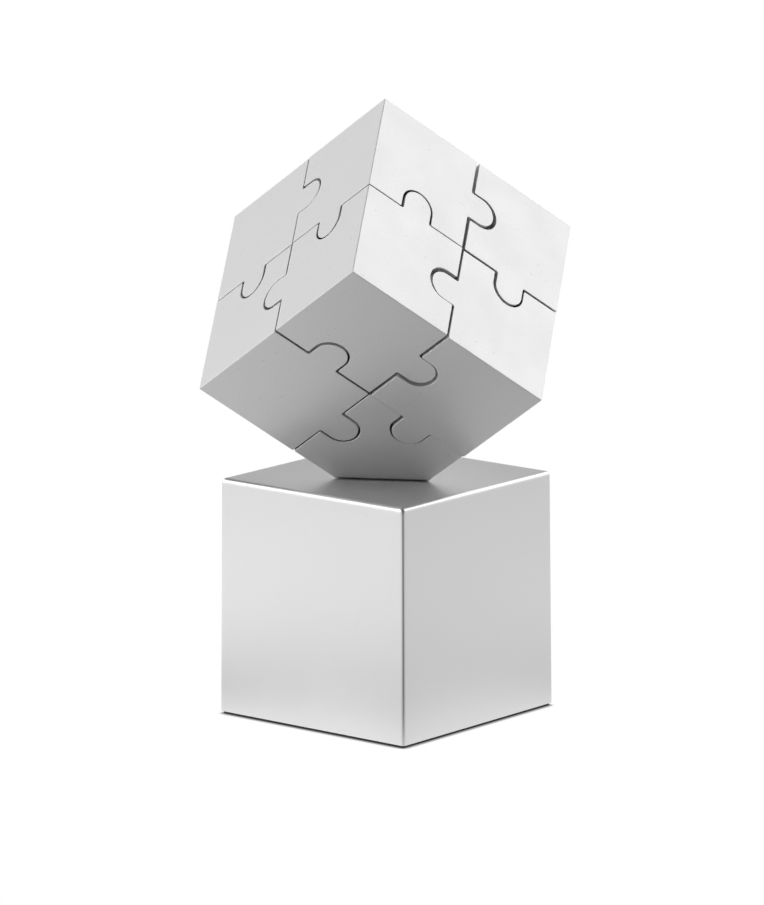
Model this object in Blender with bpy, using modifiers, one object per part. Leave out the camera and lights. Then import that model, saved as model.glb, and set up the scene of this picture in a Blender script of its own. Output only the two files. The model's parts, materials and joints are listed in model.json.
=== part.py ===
"""Magnetic jigsaw cube on a base block, a desk puzzle.

Eight corner pieces make a cube. On every face each piece slides a straight tongue with a round end
into one neighbour, and takes a tongue from the other. Disc magnets in the inner faces hold the
pieces together. One corner is cut off to make a small foot, and a magnet under the top of the
hollow base block holds the cube standing on that foot.

Frame: metres, +Z up, origin at the centre of the pad under the base. The base's sides face the X
and Y axes. Blender 4.5: blender --background --python part.py
"""

import itertools
import math

import bmesh
import bpy
from mathutils import Matrix, Vector

MM = 0.001

# Puzzle cube
CUBE_EDGE = 39.0 * MM
SEAM = 0.26 * MM  # gap between neighbours
TONGUE_GAP = 0.36 * MM  # round a tongue and under it
TONGUE_WIDTH = 5.7 * MM
TONGUE_REACH = 4.95 * MM  # from the seam plane to the round end
TONGUE_DEPTH = 4.0 * MM  # below the cube's outer face
TONGUE_ROOT = 1.5 * MM  # how far a tongue's solid runs back into its own piece
FOOT_CUT = 6.3 * MM  # what the foot's flat takes off the cube's long diagonal

# Magnets in the cube's inner faces, and the one in the foot
MAGNET_RADIUS = 4.0 * MM
MAGNET_THICKNESS = 3.0 * MM
MAGNET_OFFSET = 8.5 * MM  # from the two mid-planes that cross its face
FOOT_MAGNET_RADIUS = 3.0 * MM
POCKET_PLAY = 0.1 * MM  # round a magnet and under it

# Base block
BASE_BOTTOM_WIDTH = 38.35 * MM
BASE_TOP_WIDTH = 37.75 * MM  # draft of the casting
BASE_HEIGHT = 38.5 * MM
BASE_TOP_ROUNDING = 0.8 * MM
BASE_SIDE_ROUNDING = 0.5 * MM
WALL = 2.4 * MM
PAD_WIDTH = 37.8 * MM
PAD_THICKNESS = 0.35 * MM
COVER_WIDTH = 34.6 * MM
COVER_THICKNESS = 1.2 * MM
SCREW_POST_PLACE = 13.9 * MM  # from the base's axis, in X and in Y
SCREW_POST_RADIUS = 2.8 * MM
SCREW_POST_HEIGHT = 9.0 * MM
SCREW_LENGTH = 7.0 * MM
SCREW_RADIUS = 1.25 * MM
SCREW_HEAD_RADIUS = 2.3 * MM
SCREW_HEAD_HEIGHT = 1.05 * MM
BASE_MAGNET_RADIUS = 6.0 * MM
BASE_MAGNET_THICKNESS = 4.0 * MM
SOCKET_WALL = 1.8 * MM
TOP_SKIN = 1.0 * MM  # metal left over the base magnet
BALLAST_WIDTH = 26.0 * MM
BALLAST_CORNER = 3.0 * MM

REST_GAP = 0.1 * MM  # between pieces that rest on each other
BURIED = 0.4 * MM  # overlap of shapes that are joined into one
PAST = 1.0 * MM  # how far a cutter runs past the face it opens
ROUND_SEGMENTS = 48
SMALL_ROUND_SEGMENTS = 20
TONGUE_END_SEGMENTS = 12

# Heights in the base
SHELL_BOTTOM = PAD_THICKNESS + REST_GAP
SHELL_TOP = SHELL_BOTTOM + BASE_HEIGHT
COVER_TOP = SHELL_BOTTOM + COVER_THICKNESS
POST_FOOT = COVER_TOP + REST_GAP
SOCKET_ROOF = SHELL_TOP - TOP_SKIN
BASE_MAGNET_TOP = SOCKET_ROOF - POCKET_PLAY
SOCKET_MOUTH = BASE_MAGNET_TOP - BASE_MAGNET_THICKNESS
BALLAST_TOP = SOCKET_MOUTH - POCKET_PLAY

# The cube stands with its long diagonal upright, on the foot
FOOT_HEIGHT = SHELL_TOP + REST_GAP
HALF_DIAGONAL = CUBE_EDGE * math.sqrt(3) / 2
CUBE_CENTRE = Vector((0, 0, FOOT_HEIGHT + HALF_DIAGONAL - FOOT_CUT))

# Pieces by their place along the cube's three edges from the foot corner: 0 near it, 1 far from it.
# The edges leave the foot corner towards +X (first), back left (second) and front left (third).
PIECES = {
    (0, 0, 0): "foot_piece",
    (1, 0, 0): "lower_right_piece",
    (0, 1, 0): "lower_back_piece",
    (0, 0, 1): "lower_front_piece",
    (1, 0, 1): "upper_front_piece",
    (1, 1, 0): "upper_back_piece",
    (0, 1, 1): "upper_left_piece",
    (1, 1, 1): "top_piece",
}
AXIS_NAMES = "xyz"

# How each piece sits within the play of its tongues, along the cube's own axes, so that some
# seams are open and others nearly shut.
SEATING = {
    "top_piece": (-0.15 * MM, 0.05 * MM, 0.01 * MM),
    "upper_front_piece": (-0.10 * MM, 0.13 * MM, -0.01 * MM),
    "upper_back_piece": (-0.14 * MM, -0.07 * MM, -0.23 * MM),
    "upper_left_piece": (-0.09 * MM, -0.02 * MM, -0.05 * MM),
    "lower_right_piece": (-0.17 * MM, -0.14 * MM, -0.13 * MM),
    "lower_front_piece": (-0.18 * MM, 0.12 * MM, -0.10 * MM),
    "lower_back_piece": (-0.05 * MM, -0.03 * MM, 0.02 * MM),
}


# ---------------------------------------------------------------- materials

def make_material(name, colour, roughness, metallic):
    material = bpy.data.materials.new(name)
    material.use_nodes = True
    shader = material.node_tree.nodes["Principled BSDF"]
    shader.inputs["Base Color"].default_value = (*colour, 1)
    shader.inputs["Roughness"].default_value = roughness
    shader.inputs["Metallic"].default_value = metallic
    return material


# ---------------------------------------------------------------- meshes

def mesh_from(name, build):
    """A mesh that build(bm) fills in."""
    bm = bmesh.new()
    build(bm)
    mesh = bpy.data.meshes.new(name)
    bm.to_mesh(mesh)
    bm.free()
    return mesh


def box_mesh(name, low, high):
    low, high = Vector(low), Vector(high)
    placed = Matrix.Translation((low + high) / 2) @ Matrix.Diagonal((*(high - low), 1))
    return mesh_from(name, lambda bm: bmesh.ops.create_cube(bm, size=1, matrix=placed))


def block_mesh(name, width, bottom, top):
    """A square block, centred on the Z axis."""
    half = width / 2
    return box_mesh(name, (-half, -half, bottom), (half, half, top))


def cone_mesh(name, bottom_radius, top_radius, bottom, top, segments=ROUND_SEGMENTS):
    """A round shape on the Z axis between two heights."""
    placed = Matrix.Translation((0, 0, (bottom + top) / 2))

    def build(bm):
        bmesh.ops.create_cone(bm, cap_ends=True, segments=segments, radius1=bottom_radius,
                              radius2=top_radius, depth=top - bottom, matrix=placed)

    return mesh_from(name, build)


def disc_mesh(name, radius, bottom, top, segments=ROUND_SEGMENTS):
    return cone_mesh(name, radius, radius, bottom, top, segments)


def tongue_mesh(name, half_width, reach, root, low, high):
    """A straight tongue along +X with a round end, between two heights: a flat outline, extruded."""
    curve = bpy.data.curves.new(name, "CURVE")
    curve.dimensions = "2D"
    curve.fill_mode = "BOTH"
    curve.extrude = (high - low) / 2
    arc_centre = reach - half_width
    outline = [(-root, -half_width)]
    for step in range(TONGUE_END_SEGMENTS + 1):
        angle = math.pi * (step / TONGUE_END_SEGMENTS - 0.5)
        outline.append((arc_centre + half_width * math.cos(angle), half_width * math.sin(angle)))
    outline.append((-root, half_width))
    spline = curve.splines.new("POLY")
    spline.points.add(len(outline) - 1)
    for point, (x, y) in zip(spline.points, outline):
        point.co = (x, y, 0, 1)
    spline.use_cyclic_u = True

    flat = bpy.data.objects.new(name, curve)
    bpy.context.scene.collection.objects.link(flat)
    graph = bpy.context.evaluated_depsgraph_get()
    mesh = bpy.data.meshes.new_from_object(flat.evaluated_get(graph))
    bpy.data.objects.remove(flat)
    bm = bmesh.new()
    bm.from_mesh(mesh)
    bmesh.ops.remove_doubles(bm, verts=bm.verts, dist=0.001 * MM)
    bmesh.ops.translate(bm, verts=bm.verts, vec=(0, 0, (low + high) / 2))
    bmesh.ops.recalc_face_normals(bm, faces=bm.faces)
    bm.to_mesh(mesh)
    bm.free()
    return mesh


# ---------------------------------------------------------------- objects and modifiers

def add_part(name, mesh, material, parent=None, placed=None):
    part = bpy.data.objects.new(name, mesh)
    PARTS.objects.link(part)
    mesh.materials.clear()
    mesh.materials.append(material)
    part.parent = parent
    if placed is not None:
        part.matrix_local = placed
    return part


def add_tool(name, mesh, parent=None, placed=None):
    """A shape that only cuts or joins another."""
    tool = bpy.data.objects.new(name, mesh)
    TOOLS.objects.link(tool)
    tool.parent = parent
    if placed is not None:
        tool.matrix_local = placed
    tool.display_type = "WIRE"
    tool.hide_render = True
    return tool


def combine(part, operation, tool):
    modifier = part.modifiers.new(f"{operation.lower()} {tool.name}", "BOOLEAN")
    modifier.operation = operation
    modifier.object = tool


def shade(part):
    """Smooth over round faces, sharp at real edges."""
    part.data.shade_smooth()
    part.data.set_sharp_from_angle(angle=math.radians(30))


def round_edges(part, width, segments, weight_of):
    """Bevels the edges by weight_of(edge), a share of width."""
    mesh = part.data
    weights = mesh.attributes.new("bevel_weight_edge", "FLOAT", "EDGE")
    for edge in mesh.edges:
        ends = [mesh.vertices[v].co for v in edge.vertices]
        weights.data[edge.index].value = weight_of(*ends)
    bevel = part.modifiers.new("rounding", "BEVEL")
    bevel.limit_method = "WEIGHT"
    bevel.width = width
    bevel.segments = segments


def is_upright(one, other):
    return abs(one.z - other.z) > abs(one.x - other.x) + abs(one.y - other.y)


# ---------------------------------------------------------------- base block

def build_shell(material):
    shell = add_part("base_shell", block_mesh("base_shell", BASE_BOTTOM_WIDTH, SHELL_BOTTOM, SHELL_TOP),
                     material)
    for corner in shell.data.vertices:
        if corner.co.z > BASE_HEIGHT / 2:
            corner.co.x *= BASE_TOP_WIDTH / BASE_BOTTOM_WIDTH
            corner.co.y *= BASE_TOP_WIDTH / BASE_BOTTOM_WIDTH

    def weight(one, other):
        if is_upright(one, other):
            return BASE_SIDE_ROUNDING / BASE_TOP_ROUNDING
        return 1.0 if one.z > BASE_HEIGHT / 2 else 0.0

    round_edges(shell, BASE_TOP_ROUNDING, 4, weight)

    cavity_roof = SHELL_TOP - WALL
    cavity = add_tool("cavity", block_mesh("cavity", BASE_TOP_WIDTH - 2 * WALL, -PAST, cavity_roof))
    combine(shell, "DIFFERENCE", cavity)
    rebate = add_tool("cover_rebate",
                      block_mesh("cover_rebate", COVER_WIDTH + 2 * REST_GAP, -PAST, POST_FOOT))
    combine(shell, "DIFFERENCE", rebate)

    ring = add_tool("socket_ring", disc_mesh("socket_ring", BASE_MAGNET_RADIUS + SOCKET_WALL,
                                             SOCKET_MOUTH, cavity_roof + BURIED))
    combine(shell, "UNION", ring)
    socket = add_tool("magnet_socket", disc_mesh("magnet_socket", BASE_MAGNET_RADIUS + POCKET_PLAY,
                                                 SOCKET_MOUTH - PAST, SOCKET_ROOF))
    combine(shell, "DIFFERENCE", socket)

    post_mesh = disc_mesh("screw_post", SCREW_POST_RADIUS, POST_FOOT, POST_FOOT + SCREW_POST_HEIGHT,
                          SMALL_ROUND_SEGMENTS)
    hole_mesh = disc_mesh("thread_hole", SCREW_RADIUS + REST_GAP / 2, POST_FOOT - PAST,
                          SHELL_BOTTOM + SCREW_LENGTH + PAST, SMALL_ROUND_SEGMENTS)
    for number, place in enumerate(screw_places(), 1):
        combine(shell, "UNION", add_tool(f"screw_post_{number}", post_mesh, placed=place))
        combine(shell, "DIFFERENCE", add_tool(f"thread_hole_{number}", hole_mesh, placed=place))


def screw_places():
    for x, y in itertools.product((-SCREW_POST_PLACE, SCREW_POST_PLACE), repeat=2):
        yield Matrix.Translation((x, y, 0))


def build_cover(material):
    cover = add_part("base_cover", block_mesh("base_cover", COVER_WIDTH, SHELL_BOTTOM, COVER_TOP),
                     material)
    # The countersink is wider than the screw's cone all the way up.
    slope = (SCREW_HEAD_RADIUS - SCREW_RADIUS) / SCREW_HEAD_HEIGHT
    sink_mesh = cone_mesh("countersink", SCREW_HEAD_RADIUS + 2 * REST_GAP + slope * PAST,
                          SCREW_RADIUS + 2 * REST_GAP, SHELL_BOTTOM - PAST,
                          SHELL_BOTTOM + SCREW_HEAD_HEIGHT, SMALL_ROUND_SEGMENTS)
    hole_mesh = disc_mesh("screw_hole", SCREW_RADIUS + REST_GAP, SHELL_BOTTOM, COVER_TOP + PAST,
                          SMALL_ROUND_SEGMENTS)
    for number, place in enumerate(screw_places(), 1):
        combine(cover, "DIFFERENCE", add_tool(f"countersink_{number}", sink_mesh, placed=place))
        combine(cover, "DIFFERENCE", add_tool(f"screw_hole_{number}", hole_mesh, placed=place))


def screw_mesh():
    """Half section of a countersunk screw with its head down: its outer side, top to bottom."""
    bottom = SHELL_BOTTOM
    tip = bottom + SCREW_LENGTH
    tip_chamfer = 0.4 * MM
    section = [
        (0, tip),
        (SCREW_RADIUS - tip_chamfer, tip),
        (SCREW_RADIUS, tip - tip_chamfer),
        (SCREW_RADIUS, bottom + SCREW_HEAD_HEIGHT),
        (SCREW_HEAD_RADIUS, bottom),
        (0, bottom),
    ]

    def build(bm):
        points = [bm.verts.new((x, 0, z)) for x, z in section]
        for one, other in zip(points, points[1:]):
            bm.edges.new((one, other))

    return mesh_from("base_screw", build)


def build_screws(material):
    mesh = screw_mesh()
    slot_length = 2.4 * MM
    slot_width = 0.55 * MM
    slot_depth = 0.8 * MM
    for number, place in enumerate(screw_places(), 1):
        screw = add_part(f"base_screw_{number}", mesh, material, placed=place)
        turn = screw.modifiers.new("turned", "SCREW")
        turn.steps = turn.render_steps = SMALL_ROUND_SEGMENTS
        turn.use_merge_vertices = True
        turn.merge_threshold = 0.01 * MM
        for name, x, y in (("slot_x", slot_length, slot_width), ("slot_y", slot_width, slot_length)):
            slot = box_mesh(name, (-x / 2, -y / 2, SHELL_BOTTOM - PAST),
                            (x / 2, y / 2, SHELL_BOTTOM + slot_depth))
            combine(screw, "DIFFERENCE", add_tool(f"{name}_{number}", slot, placed=place))


def build_ballast(material):
    ballast = add_part("ballast_block",
                       block_mesh("ballast_block", BALLAST_WIDTH, COVER_TOP + REST_GAP, BALLAST_TOP),
                       material)
    round_edges(ballast, BALLAST_CORNER, 1, lambda one, other: float(is_upright(one, other)))


def build_pad(material):
    pad = add_part("base_pad", block_mesh("base_pad", PAD_WIDTH, 0, PAD_THICKNESS), material)
    round_edges(pad, BASE_SIDE_ROUNDING, 4, lambda one, other: float(is_upright(one, other)))


def build_base_magnet(material):
    magnet = add_part("base_magnet",
                      disc_mesh("base_magnet", BASE_MAGNET_RADIUS, SOCKET_MOUTH, BASE_MAGNET_TOP),
                      material)
    shade(magnet)


# ---------------------------------------------------------------- puzzle cube

def cube_rotation():
    """Turns the cube's own axes so that its long diagonal is +Z and its first edge runs out over +X."""
    rise = math.sqrt(1 / 3)
    spread = math.sqrt(2 / 3)
    edges = [Vector((spread * math.cos(azimuth), spread * math.sin(azimuth), rise))
             for azimuth in (0, math.radians(120), math.radians(240))]
    return Matrix(edges).transposed().to_4x4()


def plus_tongue_face(seam_axis, place):
    """The outer face on which the tongue across a seam points along +seam_axis. The seam shows on one
    other face, where the tongue points back, so two neighbours always give one and take one."""
    i, j, k = place
    if seam_axis == 0:
        return 2 if j == k else 1
    if seam_axis == 1:
        return 2 if k == 0 else 0
    return 0 if j == 0 else 1


def seam_frame(reach_axis, reach_sign, face_axis, signs):
    """A frame on a seam's plane, at the middle of one piece's side of the cube's outer face: X along
    the tongue, Z out of the face."""
    along, out = Vector(), Vector()
    along[reach_axis] = reach_sign
    out[face_axis] = signs[face_axis]
    side_axis = 3 - reach_axis - face_axis
    origin = Vector()
    origin[face_axis] = signs[face_axis] * CUBE_EDGE / 2
    origin[side_axis] = signs[side_axis] * CUBE_EDGE / 4
    frame = Matrix((along, out.cross(along), out)).transposed().to_4x4()
    frame.translation = origin
    return frame


def magnet_frame(axis, signs):
    """A frame at a magnet's place on a seam's plane: Z into the piece."""
    into = Vector()
    into[axis] = signs[axis]
    origin = Vector([sign * MAGNET_OFFSET for sign in signs])
    origin[axis] = 0
    frame = into.to_track_quat("Z", "Y").to_matrix().to_4x4()
    frame.translation = origin
    return frame


def build_piece(place, frame_empty, meshes, material, magnet_material):
    name = PIECES[place]
    signs = [2 * near_far - 1 for near_far in place]
    inner = Vector(signs) * SEAM / 2
    outer = Vector(signs) * CUBE_EDGE / 2
    low = [min(pair) for pair in zip(inner, outer)]
    high = [max(pair) for pair in zip(inner, outer)]
    seated = Matrix.Translation(SEATING.get(name, (0, 0, 0)))
    piece = add_part(name, box_mesh(name, low, high), material, frame_empty, seated)

    for seam_axis, face_axis in itertools.permutations(range(3), 2):
        points_up = plus_tongue_face(seam_axis, place) == face_axis
        gives = points_up == (place[seam_axis] == 0)
        reach_sign = 1 if points_up else -1
        spot = seam_frame(seam_axis, reach_sign, face_axis, signs)
        kind = "tongue" if gives else "slot"
        tool = add_tool(f"{name}_{kind}_{AXIS_NAMES[seam_axis]}{AXIS_NAMES[face_axis]}",
                        meshes[kind], piece, spot)
        combine(piece, "UNION" if gives else "DIFFERENCE", tool)

    for axis in range(3):
        spot = magnet_frame(axis, signs)
        pocket = add_tool(f"{name}_pocket_{AXIS_NAMES[axis]}", meshes["pocket"], piece, spot)
        combine(piece, "DIFFERENCE", pocket)
        magnet = add_part(f"{name}_magnet_{AXIS_NAMES[axis]}", meshes["magnet"], magnet_material,
                          frame_empty, seated @ spot)
        shade(magnet)
    return piece


def build_cube(material, magnet_material):
    frame_empty = bpy.data.objects.new("cube_frame", None)
    PARTS.objects.link(frame_empty)
    frame_empty.matrix_world = Matrix.Translation(CUBE_CENTRE) @ cube_rotation()

    half_width, half_gap = TONGUE_WIDTH / 2, TONGUE_GAP / 2
    magnet_floor = SEAM / 2 + POCKET_PLAY
    meshes = {
        "tongue": tongue_mesh("tongue", half_width - half_gap, TONGUE_REACH - half_gap,
                              TONGUE_ROOT, -TONGUE_DEPTH, 0),
        "slot": tongue_mesh("slot", half_width + half_gap, TONGUE_REACH + half_gap,
                            PAST, -TONGUE_DEPTH - TONGUE_GAP, PAST),
        "pocket": disc_mesh("pocket", MAGNET_RADIUS + POCKET_PLAY, -PAST,
                            magnet_floor + MAGNET_THICKNESS + POCKET_PLAY, SMALL_ROUND_SEGMENTS),
        "magnet": disc_mesh("magnet", MAGNET_RADIUS, magnet_floor, magnet_floor + MAGNET_THICKNESS,
                            SMALL_ROUND_SEGMENTS),
    }
    pieces = {PIECES[place]: build_piece(place, frame_empty, meshes, material, magnet_material)
              for place in PIECES}

    foot = pieces["foot_piece"]
    below = add_tool("foot_cut", block_mesh("foot_cut", CUBE_EDGE, FOOT_HEIGHT - FOOT_CUT - PAST,
                                            FOOT_HEIGHT))
    combine(foot, "DIFFERENCE", below)
    magnet_bottom = FOOT_HEIGHT + POCKET_PLAY
    magnet_top = magnet_bottom + MAGNET_THICKNESS
    pocket = add_tool("foot_pocket", disc_mesh("foot_pocket", FOOT_MAGNET_RADIUS + POCKET_PLAY,
                                               FOOT_HEIGHT - PAST, magnet_top + POCKET_PLAY,
                                               SMALL_ROUND_SEGMENTS))
    combine(foot, "DIFFERENCE", pocket)
    foot_magnet = add_part("foot_magnet", disc_mesh("foot_magnet", FOOT_MAGNET_RADIUS, magnet_bottom,
                                                    magnet_top, SMALL_ROUND_SEGMENTS),
                           magnet_material)
    shade(foot_magnet)


# ---------------------------------------------------------------- the object

for old in list(bpy.data.objects):
    bpy.data.objects.remove(old)

PARTS = bpy.data.collections.new("magnetic_jigsaw_cube")
TOOLS = bpy.data.collections.new("cutters_and_joined_shapes")
for collection in (PARTS, TOOLS):
    bpy.context.scene.collection.children.link(collection)

blasted_zinc = make_material("blasted_zinc", (0.62, 0.62, 0.62), 0.5, 1.0)
satin_chrome = make_material("satin_chrome", (0.66, 0.66, 0.66), 0.3, 1.0)
magnet_nickel = make_material("magnet_nickel", (0.60, 0.58, 0.54), 0.2, 1.0)
plain_steel = make_material("plain_steel", (0.45, 0.45, 0.46), 0.4, 1.0)
black_rubber = make_material("black_rubber", (0.02, 0.02, 0.02), 0.9, 0.0)

build_shell(satin_chrome)
build_cover(plain_steel)
build_screws(plain_steel)
build_ballast(plain_steel)
build_pad(black_rubber)
build_base_magnet(magnet_nickel)
build_cube(blasted_zinc, magnet_nickel)
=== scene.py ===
"""The looks of the magnetic jigsaw cube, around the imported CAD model.

Every part is modelled again here at full quality, in the place of the CAD node that it stands
for: eight puzzle pieces with their magnets, the base block's casting, what is inside it, and its
pad.
Lengths are metres. Places come from the frame: the CAD nodes' boxes and the joints' axes.
"""

import itertools
import json
import math

import bmesh
import bpy
from mathutils import Matrix, Vector


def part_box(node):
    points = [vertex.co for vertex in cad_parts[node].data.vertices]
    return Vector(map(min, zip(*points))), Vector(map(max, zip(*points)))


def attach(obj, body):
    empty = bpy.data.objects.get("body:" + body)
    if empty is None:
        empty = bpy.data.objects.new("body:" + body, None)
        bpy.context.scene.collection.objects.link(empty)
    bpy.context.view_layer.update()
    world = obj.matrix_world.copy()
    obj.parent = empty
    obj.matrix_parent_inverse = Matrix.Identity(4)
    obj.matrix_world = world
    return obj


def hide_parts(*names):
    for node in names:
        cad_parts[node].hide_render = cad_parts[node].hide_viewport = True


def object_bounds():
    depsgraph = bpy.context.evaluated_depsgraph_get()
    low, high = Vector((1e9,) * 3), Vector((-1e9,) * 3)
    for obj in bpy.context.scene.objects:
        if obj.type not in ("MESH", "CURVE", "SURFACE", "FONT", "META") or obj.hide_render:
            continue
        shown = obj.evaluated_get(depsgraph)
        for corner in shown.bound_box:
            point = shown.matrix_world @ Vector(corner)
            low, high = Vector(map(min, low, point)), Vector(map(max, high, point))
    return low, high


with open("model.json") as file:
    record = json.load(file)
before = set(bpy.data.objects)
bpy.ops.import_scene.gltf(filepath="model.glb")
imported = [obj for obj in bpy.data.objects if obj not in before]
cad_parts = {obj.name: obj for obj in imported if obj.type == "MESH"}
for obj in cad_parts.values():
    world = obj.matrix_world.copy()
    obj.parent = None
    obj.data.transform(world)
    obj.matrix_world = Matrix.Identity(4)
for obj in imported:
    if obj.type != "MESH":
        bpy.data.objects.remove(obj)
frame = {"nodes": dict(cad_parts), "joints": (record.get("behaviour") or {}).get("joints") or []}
cad_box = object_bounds()

MM = 0.001

# Puzzle cube
CUBE_EDGE = 39.0 * MM
SEAM = 0.26 * MM  # gap between neighbours
TONGUE_GAP = 0.36 * MM  # round a tongue and under it
TONGUE_WIDTH = 5.7 * MM
TONGUE_REACH = 4.95 * MM  # from the seam plane to the round end
TONGUE_DEPTH = 4.0 * MM  # below the cube's outer face
TONGUE_ROOT = 1.5 * MM  # how far a tongue's solid runs back into its own piece
TONGUE_END_SEGMENTS = 40
EDGE_ROUNDING = 0.11 * MM
EDGE_ROUNDING_SEGMENTS = 3
ROOT_ROUNDING = 0.30 * MM  # where a tongue's sides meet the seam
ROOT_ROUNDING_SEGMENTS = 4

# Magnets
MAGNET_OFFSET = 8.5 * MM  # from the two mid-planes that cross its face
MAGNET_RADIUS = 4.0 * MM
MAGNET_THICKNESS = 3.0 * MM
MAGNET_ROUNDING = 0.25 * MM
POCKET_PLAY = 0.1 * MM  # round a magnet and under it

# Base block
BASE_TOP_WIDTH = 37.75 * MM
BASE_TOP_ROUNDING = 1.6 * MM
BASE_SIDE_ROUNDING = 1.1 * MM
BASE_ROUNDING_SEGMENTS = 14
BASE_ROUNDING_SHAPE = 0.78  # over 0.5 is tighter than a round, with softer ends
SHELL_EDGE_ROUNDING = 0.10 * MM
WALL = 2.4 * MM
TOP_SKIN = 1.0 * MM  # over the base magnet
SOCKET_WALL = 1.8 * MM
SCREW_POST_RADIUS = 2.8 * MM
SCREW_POST_HEIGHT = 9.0 * MM
COVER_ROUNDING = 0.06 * MM
BALLAST_CORNER = 3.0 * MM
BALLAST_ROUNDING = 0.3 * MM
PAD_SIDE_ROUNDING = 0.5 * MM
PAD_SIDE_SEGMENTS = 8
PAD_EDGE_ROUNDING = 0.04 * MM
REST_GAP = 0.1 * MM  # between parts that lie against each other

# Cover screws
SCREW_RADIUS = 1.25 * MM
SCREW_HEAD_HEIGHT = 1.05 * MM
SCREW_TIP_CHAMFER = 0.4 * MM
THREAD_PITCH = 0.45 * MM
THREAD_DEPTH = 0.12 * MM
SLOT_HALF_LENGTH = 1.2 * MM
SLOT_HALF_WIDTH = 0.275 * MM
SLOT_DEPTH = 0.8 * MM

# Modelling
BURIED = 0.4 * MM  # overlap of shapes that are joined into one
PAST = 1.0 * MM  # how far a shape or a cutter runs past the face that trims it
ROUND_SEGMENTS = 96
SMALL_ROUND_SEGMENTS = 48
SCREW_SEGMENTS = 40
SHARP = math.radians(30)  # edges with a larger angle are rounded
FLAT = math.radians(0.5)  # faces that meet at less become one
SAME_SPOT = 0.0005 * MM  # corners closer than this are one
SLIVER = 0.03 * MM  # corners closer than this are joined before rounding
TOUCH = 0.01 * MM  # how near an edge lies to a plane that it is on
FACE_WEIGHT = 60  # how strongly large faces stay flat in the shading

# Pieces by their place along the cube's three edges from the foot corner: 0 near it, 1 far from
# it. The joints that pull the cube apart slide along those edges.
PIECES = {
    (0, 0, 0): "foot_piece",
    (1, 0, 0): "lower_right_piece",
    (0, 1, 0): "lower_back_piece",
    (0, 0, 1): "lower_front_piece",
    (1, 0, 1): "upper_front_piece",
    (1, 1, 0): "upper_back_piece",
    (0, 1, 1): "upper_left_piece",
    (1, 1, 1): "top_piece",
}
EDGE_JOINTS = ("split_right", "split_back", "split_front")
AXIS_NAMES = "xyz"

# Patterns of the materials, and the painted shade in narrow gaps
CLOUD_SIZE = 8.0 * MM  # of the slow drift in tone and roughness
ROUGHNESS_DRIFT = 0.1
PIT_SIZE = 0.6 * MM
PIT_LEVELS = (0.74, 0.80)  # noise values between which a pit starts and is full
PIT_ROUGHENING = 0.2
PIT_DEPTH = 2  # in grain depths, for a full pit
PAINTED_GAP_SHADE_LEVELS = (0.25, 0.70)  # open shares between which the painted shade in a narrow gap is darkest and ends
AO_SAMPLES = 16

# The camera, and the height and the sideways shift of what it looks at. An azimuth of 0 looks
# along +Y.
VIEW_AZIMUTH = math.radians(39.4)
VIEW_ELEVATION = math.radians(11.6)
VIEW_ROLL = math.radians(-0.107)
VIEW_DISTANCE = 1.1655
VIEW_LENS_MM = 287.6
VIEW_HEIGHT = 42.08 * MM
VIEW_ASIDE = -0.70 * MM

# Studio: large soft lights round a dark camera side, as (name, azimuth, elevation, half width in
# degrees, strength). An azimuth of 0 is +X, and 90 is +Y.
SKY_LEVEL = 0.03
SKY_LIGHTS = (
    ("back_right", 62, 31, 45, 1.65),
    ("back_left", 130, 12, 40, 0.50),
    ("left", 168, 15, 40, 0.15),
    ("left_front", 205, 12, 40, 1.58),
    ("front_left", 240, 12, 40, 0.90),
)

# The floor's painted light as the metal sees it, a glow that stands in for the floor's lighting and
# # shade: under the base, then in rings, each as (start, full, the light on its lit side, the light
# # on the opposite side)
FLOOR_NEAR_LIGHT = 0.78
FLOOR_RINGS = (
    (24 * MM, 50 * MM, 0.43, 0.56),
    (45 * MM, 100 * MM, 0.97, 0.75),
    (100 * MM, 300 * MM, 0.43, 0.50),
)
FLOOR_LIT_SIDE = math.radians(230)
FLOOR_SIDE_LEVELS = (-0.2, 1.0)  # cosines from that side between which its light fades in
FLOOR_HALF_SIZE = 4.0

# The painted contact shadow: a soft dark line that the camera sees on the floor where the base
# meets it
CONTACT_SHADOW_REACH = 1.0 * MM
CONTACT_SHADOW_LEVELS = (0.45, 0.98)
CONTACT_SHADE = 0.30


# ---------------------------------------------------------------- materials

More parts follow.
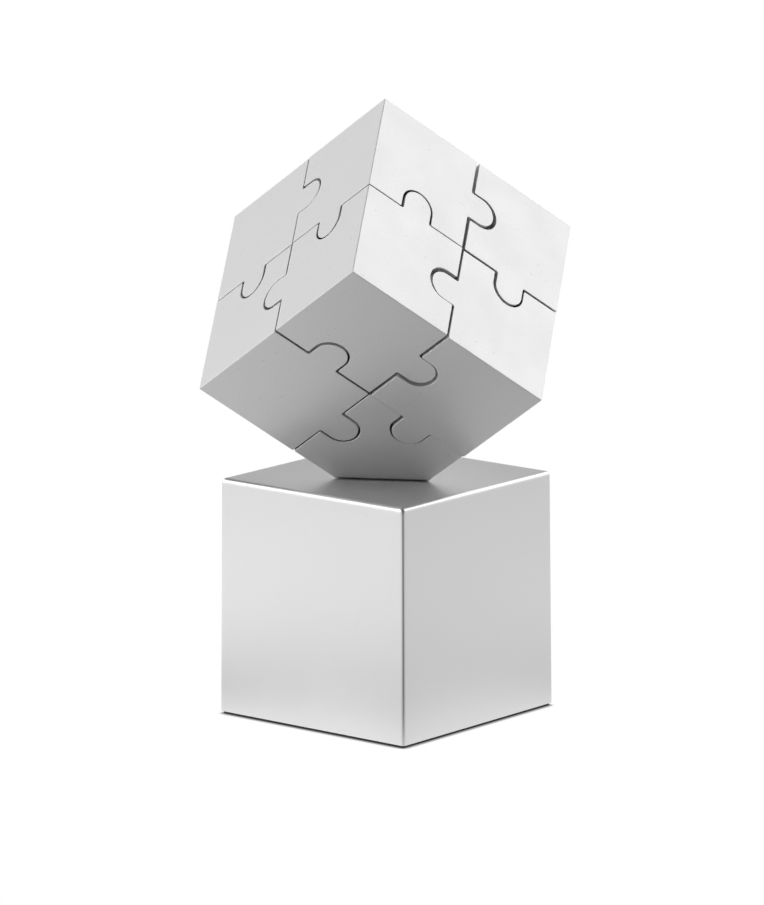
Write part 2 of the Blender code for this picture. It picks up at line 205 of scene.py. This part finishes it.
class Nodes:
    """Short calls for building a node tree."""

    def __init__(self, owner):
        owner.use_nodes = True
        self.tree = owner.node_tree

    def add(self, kind, settings=(), **inputs):
        node = self.tree.nodes.new("ShaderNode" + kind)
        for name, value in dict(settings).items():
            setattr(node, name, value)
        for name, value in inputs.items():
            self.feed(node, name.replace("_", " "), value)
        return node

    def feed(self, node, name, value):
        socket = node.inputs[name]
        if isinstance(value, bpy.types.NodeSocket):
            self.tree.links.new(value, socket)
        else:
            socket.default_value = value

    def math(self, operation, *values):
        node = self.add("Math", {"operation": operation})
        for index, value in enumerate(values):
            self.feed(node, index, value)
        return node.outputs[0]

    def around(self, value, centre, swing):
        """centre plus swing times how far a noise value is from its middle."""
        return self.math("MULTIPLY_ADD", self.math("SUBTRACT", value, 0.5), swing, centre)

    def step(self, value, low, high):
        """0 below low, 1 above high, smooth between."""
        node = self.add("MapRange", {"interpolation_type": "SMOOTHSTEP"}, Value=value)
        self.feed(node, "From Min", low)
        self.feed(node, "From Max", high)
        return node.outputs["Result"]

    def noise(self, place, size, detail=2.0, roughness=0.5):
        """Noise whose lumps are about size across."""
        node = self.add("TexNoise", Vector=place, Scale=1 / size, Detail=detail,
                        Roughness=roughness)
        return node.outputs["Fac"]

    def mix(self, one, other, share):
        """one where share is 0, other where it is 1."""
        node = self.add("Mix", Factor=share)
        self.feed(node, "A", one)
        self.feed(node, "B", other)
        return node.outputs["Result"]

    def dot(self, vector, fixed):
        node = self.add("VectorMath", {"operation": "DOT_PRODUCT"}, Vector=vector)
        node.inputs[1].default_value = fixed
        return node.outputs["Value"]

    def scaled(self, vector, factor):
        node = self.add("VectorMath", {"operation": "SCALE"}, Vector=vector, Scale=factor)
        return node.outputs["Vector"]

    def openness(self, reach):
        """How open the space over a point is, from 0 to 1, within reach of it."""
        node = self.add("AmbientOcclusion", {"samples": AO_SAMPLES}, Distance=reach)
        return node.outputs["AO"]


def surface(name, colour, metallic, roughness, grain, grain_depth, grain_tone, cloud_tone,
            pits=0.0, brushed=1.0, painted_gap_shade_reach=0.0):
    """A material with a fine grain, a slow drift in tone and roughness, and a few tiny pits, as
    dark as the share pits. brushed over 1 draws the grain out along X. Within the reach of its
    last argument, painted shade darkens its colour in narrow gaps, where shade falls between parts."""
    material = bpy.data.materials.new(name)
    nodes = Nodes(material)
    shader = nodes.tree.nodes["Principled BSDF"]
    place = nodes.add("TexCoord").outputs["Object"]
    stretched = nodes.add("VectorMath", {"operation": "MULTIPLY"}, Vector=place).outputs["Vector"]
    stretched.node.inputs[1].default_value = (1 / brushed, 1, 1)

    fine = nodes.noise(stretched, grain, detail=3.0, roughness=0.6)
    cloud = nodes.noise(place, CLOUD_SIZE, detail=3.0, roughness=0.55)
    pit = nodes.step(nodes.noise(place, PIT_SIZE, detail=1.0), *PIT_LEVELS)

    fine_tone = nodes.around(fine, 1.0, grain_tone)
    tone = nodes.math("MULTIPLY", fine_tone, nodes.around(cloud, 1.0, cloud_tone))
    tone = nodes.math("MULTIPLY", tone, nodes.math("MULTIPLY_ADD", pit, -pits, 1.0))
    # Painted shade: the colour darkens in narrow gaps, by how little of the space over a point is
    # open
    if painted_gap_shade_reach:
        tone = nodes.math("MULTIPLY", tone, nodes.step(nodes.openness(painted_gap_shade_reach), *PAINTED_GAP_SHADE_LEVELS))
    nodes.feed(shader, "Base Color", nodes.scaled(colour, tone))
    drifting = nodes.around(cloud, roughness, ROUGHNESS_DRIFT)
    pitted = nodes.math("MULTIPLY_ADD", pit, PIT_ROUGHENING * pits, drifting)
    nodes.feed(shader, "Roughness", pitted)
    nodes.feed(shader, "Metallic", metallic)
    height = nodes.math("MULTIPLY_ADD", pit, -PIT_DEPTH * pits, fine)
    bump = nodes.add("Bump", Height=height, Distance=grain_depth)
    nodes.feed(shader, "Normal", bump.outputs["Normal"])
    return material


# ---------------------------------------------------------------- meshes

def mesh_from(name, build):
    """A mesh that build(bm) fills in."""
    bm = bmesh.new()
    build(bm)
    mesh = bpy.data.meshes.new(name)
    bm.to_mesh(mesh)
    bm.free()
    return mesh


def box_mesh(low, high):
    low, high = Vector(low), Vector(high)
    placed = Matrix.Translation((low + high) / 2) @ Matrix.Diagonal((*(high - low), 1))
    return mesh_from("box", lambda bm: bmesh.ops.create_cube(bm, size=1, matrix=placed))


def block_mesh(width, bottom, top):
    """A square block, centred on the Z axis."""
    half = width / 2
    return box_mesh((-half, -half, bottom), (half, half, top))


def cone_mesh(bottom_radius, top_radius, bottom, top, segments=ROUND_SEGMENTS):
    """A round shape on the Z axis between two heights."""
    placed = Matrix.Translation((0, 0, (bottom + top) / 2))

    def build(bm):
        bmesh.ops.create_cone(bm, cap_ends=True, segments=segments, radius1=bottom_radius,
                              radius2=top_radius, depth=top - bottom, matrix=placed)

    return mesh_from("cone", build)


def disc_mesh(radius, bottom, top, segments=ROUND_SEGMENTS):
    return cone_mesh(radius, radius, bottom, top, segments)


def tongue_mesh(half_width, reach, root, low, high):
    """A straight tongue along +X with a round end, between two heights."""
    arc_centre = reach - half_width
    outline = [(-root, -half_width)]
    for step in range(TONGUE_END_SEGMENTS + 1):
        angle = math.pi * (step / TONGUE_END_SEGMENTS - 0.5)
        outline.append((arc_centre + half_width * math.cos(angle), half_width * math.sin(angle)))
    outline.append((-root, half_width))

    def build(bm):
        face = bm.faces.new([bm.verts.new((x, y, low)) for x, y in outline])
        raised = bmesh.ops.extrude_face_region(bm, geom=[face])["geom"]
        corners = [item for item in raised if isinstance(item, bmesh.types.BMVert)]
        bmesh.ops.translate(bm, verts=corners, vec=(0, 0, high - low))
        bmesh.ops.recalc_face_normals(bm, faces=bm.faces)

    return mesh_from("tongue", build)


def bevelled(mesh, width, segments, weight_of, shape=0.5):
    """mesh with its sharp edges rounded by weight_of(one end, other end), a share of width."""
    bm = bmesh.new()
    bm.from_mesh(mesh)
    bmesh.ops.remove_doubles(bm, verts=bm.verts, dist=SLIVER)
    layers = bm.edges.layers.float
    weights = layers.get("bevel_weight_edge") or layers.new("bevel_weight_edge")
    for edge in bm.edges:
        sharp = edge.calc_face_angle(0.0) > SHARP
        edge[weights] = weight_of(*[corner.co for corner in edge.verts]) if sharp else 0.0
    bm.to_mesh(mesh)
    bm.free()

    def add_bevel(holder):
        bevel = holder.modifiers.new("rounding", "BEVEL")
        bevel.limit_method = "WEIGHT"
        bevel.width = width
        bevel.segments = segments
        bevel.profile = shape
        bevel.use_clamp_overlap = False

    return evaluated(mesh, add_bevel)


def evaluated(mesh, add_modifiers):
    """mesh with the modifiers that add_modifiers(object) gives it, applied."""
    holder = bpy.data.objects.new("holder", mesh)
    bpy.context.scene.collection.objects.link(holder)
    add_modifiers(holder)
    graph = bpy.context.evaluated_depsgraph_get()
    result = bpy.data.meshes.new_from_object(holder.evaluated_get(graph))
    bpy.data.objects.remove(holder)
    return result


def combined(mesh, steps):
    """mesh after a row of Booleans, each (operation, other mesh, its placing matrix)."""
    tools = []

    def add_booleans(holder):
        for operation, other, placed in steps:
            tool = bpy.data.objects.new("tool", other)
            tool.matrix_world = placed
            bpy.context.scene.collection.objects.link(tool)
            tools.append(tool)
            boolean = holder.modifiers.new(operation.lower(), "BOOLEAN")
            boolean.operation = operation
            boolean.object = tool
        bpy.context.view_layer.update()

    result = evaluated(mesh, add_booleans)
    for tool in tools:
        bpy.data.objects.remove(tool)
    bm = bmesh.new()
    bm.from_mesh(result)
    bmesh.ops.remove_doubles(bm, verts=bm.verts, dist=SAME_SPOT)
    bmesh.ops.dissolve_limit(bm, angle_limit=FLAT, verts=bm.verts, edges=bm.edges)
    bm.to_mesh(result)
    bm.free()
    return result


def is_upright(one, other):
    """Whether an edge is nearer to upright than to level, for bevelled."""
    return abs(one.z - other.z) > abs(one.x - other.x) + abs(one.y - other.y)


# ---------------------------------------------------------------- pieces

def add_piece(node, mesh, material, body, placed=None, rounding=0.0, segments=3):
    """A finished piece that stands for a CAD node and rides a body. rounding is for its sharp
    edges, if they aren't rounded yet."""
    piece = bpy.data.objects.new(node + "_fine", mesh)
    bpy.context.scene.collection.objects.link(piece)
    mesh.materials.clear()
    mesh.materials.append(material)
    mesh.shade_smooth()
    if placed is not None:
        piece.matrix_world = placed
    if rounding:
        bevel = piece.modifiers.new("edges", "BEVEL")
        bevel.limit_method = "ANGLE"
        bevel.angle_limit = SHARP
        bevel.width = rounding
        bevel.segments = segments
        bevel.harden_normals = True
    piece.modifiers.new("even_shading", "WEIGHTED_NORMAL").weight = FACE_WEIGHT
    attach(piece, body)
    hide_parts(node)


def at_centre_of(node):
    """A placing matrix on the upright axis through a CAD node's middle."""
    low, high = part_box(node)
    return Matrix.Translation(((low.x + high.x) / 2, (low.y + high.y) / 2, 0))


def screw_nodes():
    return sorted(node for node in frame["nodes"] if node.startswith("base_screw_"))


def build_shell(material):
    """The base's casting: a tapered block, hollow from below, with a magnet socket and screw
    posts."""
    low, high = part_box("base_shell")
    cover_low, cover_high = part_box("base_cover")
    magnet_low, magnet_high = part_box("base_magnet")
    width = high.x - low.x
    bottom, top = low.z, high.z
    middle = (bottom + top) / 2
    block = block_mesh(width, bottom, top)
    for corner in block.vertices:
        if corner.co.z > middle:
            corner.co.x *= BASE_TOP_WIDTH / width
            corner.co.y *= BASE_TOP_WIDTH / width

    def weight(one, other):
        if is_upright(one, other):
            return BASE_SIDE_ROUNDING / BASE_TOP_ROUNDING
        return 1.0 if one.z > middle else 0.0

    block = bevelled(block, BASE_TOP_ROUNDING, BASE_ROUNDING_SEGMENTS, weight,
                     BASE_ROUNDING_SHAPE)
    roof = top - WALL
    post_foot = cover_high.z + REST_GAP
    magnet_radius = (magnet_high.x - magnet_low.x) / 2
    cover_width = cover_high.x - cover_low.x
    screw_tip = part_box("base_screw_1")[1].z
    hollow = block_mesh(BASE_TOP_WIDTH - 2 * WALL, bottom - PAST, roof)
    cover_seat = block_mesh(cover_width + 2 * REST_GAP, bottom - PAST, post_foot)
    socket = disc_mesh(magnet_radius + SOCKET_WALL, magnet_low.z, roof + BURIED)
    socket_hole = disc_mesh(magnet_radius + POCKET_PLAY, magnet_low.z - PAST, top - TOP_SKIN)
    here = Matrix.Identity(4)
    steps = [
        ("DIFFERENCE", hollow, here),
        ("DIFFERENCE", cover_seat, here),
        ("UNION", socket, here),
        ("DIFFERENCE", socket_hole, here),
    ]
    post = disc_mesh(SCREW_POST_RADIUS, post_foot, post_foot + SCREW_POST_HEIGHT,
                     SMALL_ROUND_SEGMENTS)
    hole = disc_mesh(SCREW_RADIUS + REST_GAP / 2, post_foot - PAST, screw_tip + PAST,
                     SMALL_ROUND_SEGMENTS)
    for node in screw_nodes():
        steps.append(("UNION", post, at_centre_of(node)))
        steps.append(("DIFFERENCE", hole, at_centre_of(node)))
    shell = combined(block, steps)
    add_piece("base_shell", shell, material, "base", rounding=SHELL_EDGE_ROUNDING)


def build_cover_and_screws(material):
    """The cover under the base, with a sunk hole for each of its screws, and the screws."""
    low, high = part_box("base_cover")
    screw_low, screw_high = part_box("base_screw_1")
    head_radius = (screw_high.x - screw_low.x) / 2
    slope = (head_radius - SCREW_RADIUS) / SCREW_HEAD_HEIGHT
    sink = cone_mesh(head_radius + 2 * REST_GAP + slope * PAST, SCREW_RADIUS + 2 * REST_GAP,
                     low.z - PAST, low.z + SCREW_HEAD_HEIGHT, SMALL_ROUND_SEGMENTS)
    hole = disc_mesh(SCREW_RADIUS + REST_GAP, low.z, high.z + PAST, SMALL_ROUND_SEGMENTS)
    steps = []
    for node in screw_nodes():
        steps.append(("DIFFERENCE", sink, at_centre_of(node)))
        steps.append(("DIFFERENCE", hole, at_centre_of(node)))
    cover = combined(block_mesh(high.x - low.x, low.z, high.z), steps)
    add_piece("base_cover", cover, material, "base", rounding=COVER_ROUNDING)

    for node in screw_nodes():
        build_screw(node, head_radius, material)


def build_screw(node, head_radius, material):
    """A countersunk screw with a threaded shank, turned from its half section, with a cross
    slot."""
    low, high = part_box(node)
    neck = low.z + SCREW_HEAD_HEIGHT
    thread_start = high.z - SCREW_TIP_CHAMFER
    core_radius = SCREW_RADIUS - THREAD_DEPTH
    tip_radius = SCREW_RADIUS - SCREW_TIP_CHAMFER
    section = [(0, high.z), (tip_radius, high.z), (core_radius, thread_start)]
    turns = int((thread_start - neck) / THREAD_PITCH) - 1
    for turn in range(turns):
        ridge = thread_start - (turn + 0.5) * THREAD_PITCH
        section.append((SCREW_RADIUS, ridge))
        section.append((core_radius, ridge - THREAD_PITCH / 2))
    section += [(core_radius, neck), (head_radius, low.z), (0, low.z)]

    def build(bm):
        points = [bm.verts.new((x, 0, z)) for x, z in section]
        for one, other in zip(points, points[1:]):
            bm.edges.new((one, other))

    def turn_round(holder):
        screw = holder.modifiers.new("turned", "SCREW")
        screw.steps = SCREW_SEGMENTS
        screw.render_steps = SCREW_SEGMENTS
        screw.use_merge_vertices = True
        screw.merge_threshold = SAME_SPOT

    turned = evaluated(mesh_from("section", build), turn_round)
    steps = []
    for x, y in ((SLOT_HALF_LENGTH, SLOT_HALF_WIDTH), (SLOT_HALF_WIDTH, SLOT_HALF_LENGTH)):
        slot = box_mesh((-x, -y, low.z - PAST), (x, y, low.z + SLOT_DEPTH))
        steps.append(("DIFFERENCE", slot, Matrix.Identity(4)))
    add_piece(node, combined(turned, steps), material, "base", at_centre_of(node))


def build_base_insides(steel, nickel):
    """The ballast block, and the magnet that holds the cube's foot."""
    low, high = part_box("ballast_block")
    ballast = bevelled(block_mesh(high.x - low.x, low.z, high.z), BALLAST_CORNER, 1,
                       lambda one, other: float(is_upright(one, other)))
    add_piece("ballast_block", ballast, steel, "base", rounding=BALLAST_ROUNDING)
    low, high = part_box("base_magnet")
    magnet = disc_mesh((high.x - low.x) / 2, low.z, high.z)
    add_piece("base_magnet", magnet, nickel, "base_magnet", rounding=MAGNET_ROUNDING)


def build_pad(material):
    """The thin pad that the base stands on."""
    low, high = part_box("base_pad")
    pad = bevelled(block_mesh(high.x - low.x, low.z, high.z), PAD_SIDE_ROUNDING,
                   PAD_SIDE_SEGMENTS, lambda one, other: float(is_upright(one, other)))
    add_piece("base_pad", pad, material, "base", rounding=PAD_EDGE_ROUNDING, segments=2)


# ---------------------------------------------------------------- puzzle cube

def cube_axes():
    """The cube's three edge directions from its foot corner, as the columns of a rotation."""
    axes = {joint["name"]: Vector(joint["axis"]).normalized() for joint in frame["joints"]}
    return Matrix([axes[name] for name in EDGE_JOINTS]).transposed()


def span(node, axes):
    """A CAD node's lowest and highest corner along the cube's own axes."""
    along = [axes.transposed() @ vertex.co for vertex in frame["nodes"][node].data.vertices]
    low = Vector([min(point[axis] for point in along) for axis in range(3)])
    high = Vector([max(point[axis] for point in along) for axis in range(3)])
    return low, high


def signs_of(place):
    """-1 or 1 along each edge, for a piece near the foot corner or far from it."""
    return Vector([2 * near_far - 1 for near_far in place])


def seat_of(place, axes, centre):
    """How far a CAD piece sits from its even place in the cube, along the cube's axes."""
    low, high = span(PIECES[place], axes)
    outer = Vector([(low, high)[near_far][axis] for axis, near_far in enumerate(place)])
    return outer - centre - signs_of(place) * CUBE_EDGE / 2


def plus_tongue_face(seam_axis, place):
    """The outer face on which the tongue across a seam points along +seam_axis. The seam shows on
    one other face, where the tongue points back, so two neighbours always give one and take one."""
    i, j, k = place
    if seam_axis == 0:
        return 2 if j == k else 1
    if seam_axis == 1:
        return 2 if k == 0 else 0
    return 0 if j == 0 else 1


def seam_frame(reach_axis, reach_sign, face_axis, signs):
    """A frame on a seam's plane, at the middle of one piece's side of the cube's outer face: X
    along the tongue, Z out of the face."""
    along, out, origin = Vector(), Vector(), Vector()
    along[reach_axis] = reach_sign
    out[face_axis] = signs[face_axis]
    side_axis = 3 - reach_axis - face_axis
    origin[face_axis] = signs[face_axis] * CUBE_EDGE / 2
    origin[side_axis] = signs[side_axis] * CUBE_EDGE / 4
    placed = Matrix((along, out.cross(along), out)).transposed().to_4x4()
    placed.translation = origin
    return placed


def magnet_frame(axis, signs):
    """A frame at a magnet's place on a seam's plane: Z into the piece."""
    into = Vector()
    into[axis] = signs[axis]
    origin = signs * MAGNET_OFFSET
    origin[axis] = 0
    placed = into.to_track_quat("Z", "Y").to_matrix().to_4x4()
    placed.translation = origin
    return placed


def piece_mesh(place, shapes, seat, cube_place):
    """One corner piece in the cube's own frame. It starts oversize, and the whole cube trims it."""
    signs = signs_of(place)
    inner, outer = signs * SEAM / 2, signs * (CUBE_EDGE / 2 + PAST)
    low = [min(pair) for pair in zip(inner, outer)]
    high = [max(pair) for pair in zip(inner, outer)]
    steps = []
    for seam_axis, face_axis in itertools.permutations(range(3), 2):
        points_up = plus_tongue_face(seam_axis, place) == face_axis
        gives = points_up == (place[seam_axis] == 0)
        spot = seam_frame(seam_axis, 1 if points_up else -1, face_axis, signs)
        if gives:
            steps.insert(0, ("UNION", shapes["tongue"], spot))
        else:
            steps.append(("DIFFERENCE", shapes["slot"], spot))
    here = Matrix.Identity(4)
    steps.append(("INTERSECT", shapes["cube"], here))
    mesh = bevelled(combined(box_mesh(low, high), steps), ROOT_ROUNDING, ROOT_ROUNDING_SEGMENTS,
                    lambda one, other: float(is_root(one, other, signs)))
    steps = [("DIFFERENCE", shapes["pocket"], magnet_frame(axis, signs)) for axis in range(3)]
    if not any(place):
        into_piece = (cube_place @ Matrix.Translation(seat)).inverted()
        steps.append(("DIFFERENCE", shapes["foot_cut"], into_piece))
        steps.append(("DIFFERENCE", shapes["foot_pocket"], into_piece))
    return bevelled(combined(mesh, steps), EDGE_ROUNDING, EDGE_ROUNDING_SEGMENTS,
                    lambda one, other: float(not is_under_tongue(one, other)))


def is_under_tongue(one, other):
    """Whether an edge lies in a tongue's underside or a slot's floor, which are left sharp."""
    for depth in (TONGUE_DEPTH, TONGUE_DEPTH + TONGUE_GAP):
        level = CUBE_EDGE / 2 - depth
        for axis in range(3):
            if max(abs(abs(end[axis]) - level) for end in (one, other)) < TOUCH:
                return True
    return False


def is_root(one, other, signs):
    """Whether an edge runs into the cube on a seam's plane, at a side of a tongue or a slot."""
    along = other - one
    into = max(range(3), key=lambda axis: abs(along[axis]))
    straight = abs(along[into]) > 0.999 * along.length
    as_deep_as_a_tongue = 0.9 * TONGUE_DEPTH < along.length < 1.2 * TONGUE_DEPTH
    if not (straight and as_deep_as_a_tongue):
        return False
    for seam_axis, side_axis in itertools.permutations({0, 1, 2} - {into}):
        from_seam = abs(one[seam_axis] * signs[seam_axis] - SEAM / 2)
        from_middle = abs(one[side_axis] * signs[side_axis] - CUBE_EDGE / 4)
        if from_seam < TOUCH and abs(from_middle - TONGUE_WIDTH / 2) < TONGUE_GAP:
            return True
    return False


def build_cube(metal, nickel):
    """The eight pieces, each where its CAD node sits, with their magnets and the foot's magnet."""
    axes = cube_axes()
    centre = span("foot_piece", axes)[0] + Vector((1, 1, 1)) * CUBE_EDGE / 2
    cube_place = Matrix.Translation(axes @ centre) @ axes.to_4x4()
    half_width, half_gap = TONGUE_WIDTH / 2, TONGUE_GAP / 2
    magnet_floor = SEAM / 2 + POCKET_PLAY
    foot_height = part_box("foot_piece")[0].z
    foot_low, foot_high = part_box("foot_magnet")
    foot_radius = (foot_high.x - foot_low.x) / 2
    half = CUBE_EDGE / 2
    shapes = {
        "tongue": tongue_mesh(half_width - half_gap, TONGUE_REACH - half_gap, TONGUE_ROOT,
                              -TONGUE_DEPTH, PAST),
        "slot": tongue_mesh(half_width + half_gap, TONGUE_REACH + half_gap, PAST,
                            -TONGUE_DEPTH - TONGUE_GAP, 2 * PAST),
        "cube": box_mesh((-half, -half, -half), (half, half, half)),
        "pocket": disc_mesh(MAGNET_RADIUS + POCKET_PLAY, -PAST,
                            magnet_floor + MAGNET_THICKNESS + POCKET_PLAY),
        "foot_cut": block_mesh(CUBE_EDGE, foot_height - CUBE_EDGE, foot_height),
        "foot_pocket": disc_mesh(foot_radius + POCKET_PLAY, foot_height - PAST,
                                 foot_high.z + POCKET_PLAY),
    }
    for place, node in PIECES.items():
        seat = seat_of(place, axes, centre)
        placed = cube_place @ Matrix.Translation(seat)
        mesh = piece_mesh(place, shapes, seat, cube_place)
        add_piece(node, mesh, metal, node, placed)
        for axis in range(3):
            magnet = disc_mesh(MAGNET_RADIUS, magnet_floor, magnet_floor + MAGNET_THICKNESS)
            spot = placed @ magnet_frame(axis, signs_of(place))
            add_piece(f"{node}_magnet_{AXIS_NAMES[axis]}", magnet, nickel, node, spot,
                      rounding=MAGNET_ROUNDING)
    foot_magnet = disc_mesh(foot_radius, foot_low.z, foot_high.z)
    add_piece("foot_magnet", foot_magnet, nickel, "foot_piece", rounding=MAGNET_ROUNDING)


# ---------------------------------------------------------------- studio

def direction(azimuth, elevation):
    """A unit vector from angles in radians. Azimuth 0 is +X, and elevation 0 is level."""
    level = math.cos(elevation)
    return Vector((level * math.cos(azimuth), level * math.sin(azimuth), math.sin(elevation)))


def build_sky():
    """The soft lights, which only the parts see. The camera sees plain white."""
    world = bpy.data.worlds.new("soft_studio")
    bpy.context.scene.world = world
    nodes = Nodes(world)
    background = nodes.tree.nodes["Background"]
    nodes.feed(background, "Color", (1, 1, 1, 1))
    where = nodes.add("TexCoord").outputs["Generated"]
    light = SKY_LEVEL
    for name, azimuth, elevation, half_width, strength in SKY_LIGHTS:
        inner, outer = math.radians(half_width / 4), math.radians(half_width)
        cosine = nodes.dot(where, direction(math.radians(azimuth), math.radians(elevation)))
        patch = nodes.step(cosine, math.cos(outer), math.cos(inner))
        patch.node.label = name
        light = nodes.math("MULTIPLY_ADD", patch, strength, light)
    seen = nodes.add("LightPath").outputs["Is Camera Ray"]
    nodes.feed(background, "Strength", nodes.mix(light, 1.0, seen))


def build_floor():
    """A plain pale floor, which glows. The camera sees it white, with a painted contact shadow at
    the base; the metal sees painted light on it that fades with the distance and the side.
    """

    def build(bm):
        bmesh.ops.create_grid(bm, x_segments=8, y_segments=8, size=FLOOR_HALF_SIZE)

    mesh = mesh_from("floor", build)
    floor = bpy.data.objects.new("floor", mesh)
    bpy.context.scene.collection.objects.link(floor)
    floor.location.z = cad_box[0].z
    material = bpy.data.materials.new("pale_floor")
    nodes = Nodes(material)
    nodes.tree.nodes.remove(nodes.tree.nodes["Principled BSDF"])
    place = nodes.add("NewGeometry").outputs["Position"]
    distance = nodes.add("VectorMath", {"operation": "LENGTH"}, Vector=place).outputs["Value"]
    towards = nodes.math("DIVIDE", nodes.dot(place, direction(FLOOR_LIT_SIDE, 0)), distance)
    lit = nodes.step(towards, *FLOOR_SIDE_LEVELS)
    opposite = nodes.step(nodes.math("MULTIPLY", towards, -1.0), *FLOOR_SIDE_LEVELS)
    # Painted light and shade that the metal sees on the floor, by ring and by side
    light = FLOOR_NEAR_LIGHT
    for start, full, lit_light, opposite_light in FLOOR_RINGS:
        from_opposite = nodes.math("MULTIPLY", opposite, opposite_light)
        ring = nodes.math("MULTIPLY_ADD", lit, lit_light, from_opposite)
        light = nodes.mix(light, ring, nodes.step(distance, start, full))
    # Painted contact shadow: the floor's white, as the camera sees it, darkens where the base shuts
    # it in
    outside_contact_shadow = nodes.step(nodes.openness(CONTACT_SHADOW_REACH), *CONTACT_SHADOW_LEVELS)
    shown = nodes.mix(CONTACT_SHADE, 1.0, outside_contact_shadow)
    seen = nodes.add("LightPath").outputs["Is Camera Ray"]
    glow = nodes.add("Emission", Color=(1, 1, 1, 1), Strength=nodes.mix(light, shown, seen))
    output = nodes.tree.nodes["Material Output"]
    nodes.feed(output, "Surface", glow.outputs["Emission"])
    mesh.materials.append(material)


def build_camera():
    """A camera on a circle round the base's axis, a little rolled, with a long lens."""
    camera_data = bpy.data.cameras.new("camera")
    camera_data.lens = VIEW_LENS_MM
    camera_data.clip_start = 0.05
    camera_data.clip_end = 20.0
    camera = bpy.data.objects.new("camera", camera_data)
    bpy.context.scene.collection.objects.link(camera)
    back = direction(VIEW_AZIMUTH - math.pi / 2, VIEW_ELEVATION)
    right = direction(VIEW_AZIMUTH, 0)
    up = back.cross(right)
    turned_right = right * math.cos(VIEW_ROLL) + up * math.sin(VIEW_ROLL)
    turned_up = back.cross(turned_right)
    target = Vector((0, 0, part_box("base_shell")[0].z + VIEW_HEIGHT)) + right * VIEW_ASIDE
    placed = Matrix((turned_right, turned_up, back)).transposed().to_4x4()
    placed.translation = target + back * VIEW_DISTANCE
    camera.matrix_world = placed
    bpy.context.scene.camera = camera


# ---------------------------------------------------------------- the whole

# The blasted metal gets painted shade in the narrow seams between the pieces
blasted = surface("blasted_metal", (0.90, 0.90, 0.90), metallic=1.0, roughness=0.60,
                  grain=0.32 * MM, grain_depth=0.010 * MM, grain_tone=0.13, cloud_tone=0.03,
                  pits=0.12, painted_gap_shade_reach=0.5 * MM)
satin = surface("satin_metal", (0.90, 0.90, 0.90), metallic=1.0, roughness=0.40,
                grain=0.10 * MM, grain_depth=0.002 * MM, grain_tone=0.02, cloud_tone=0.02,
                pits=0.05)
nickel = surface("magnet_nickel", (0.72, 0.69, 0.64), metallic=1.0, roughness=0.20,
                 grain=0.20 * MM, grain_depth=0.001 * MM, grain_tone=0.03, cloud_tone=0.06)
steel = surface("plain_steel", (0.56, 0.56, 0.57), metallic=1.0, roughness=0.36,
                grain=0.10 * MM, grain_depth=0.004 * MM, grain_tone=0.10, cloud_tone=0.06,
                brushed=12.0)
rubber = surface("black_rubber", (0.025, 0.025, 0.025), metallic=0.0, roughness=0.80,
                 grain=0.12 * MM, grain_depth=0.02 * MM, grain_tone=0.3, cloud_tone=0.2)

build_shell(satin)
build_cover_and_screws(steel)
build_base_insides(steel, nickel)
build_pad(rubber)
build_cube(blasted, nickel)
build_sky()
build_floor()
build_camera()
bpy.context.scene.view_settings.view_transform = "Standard"
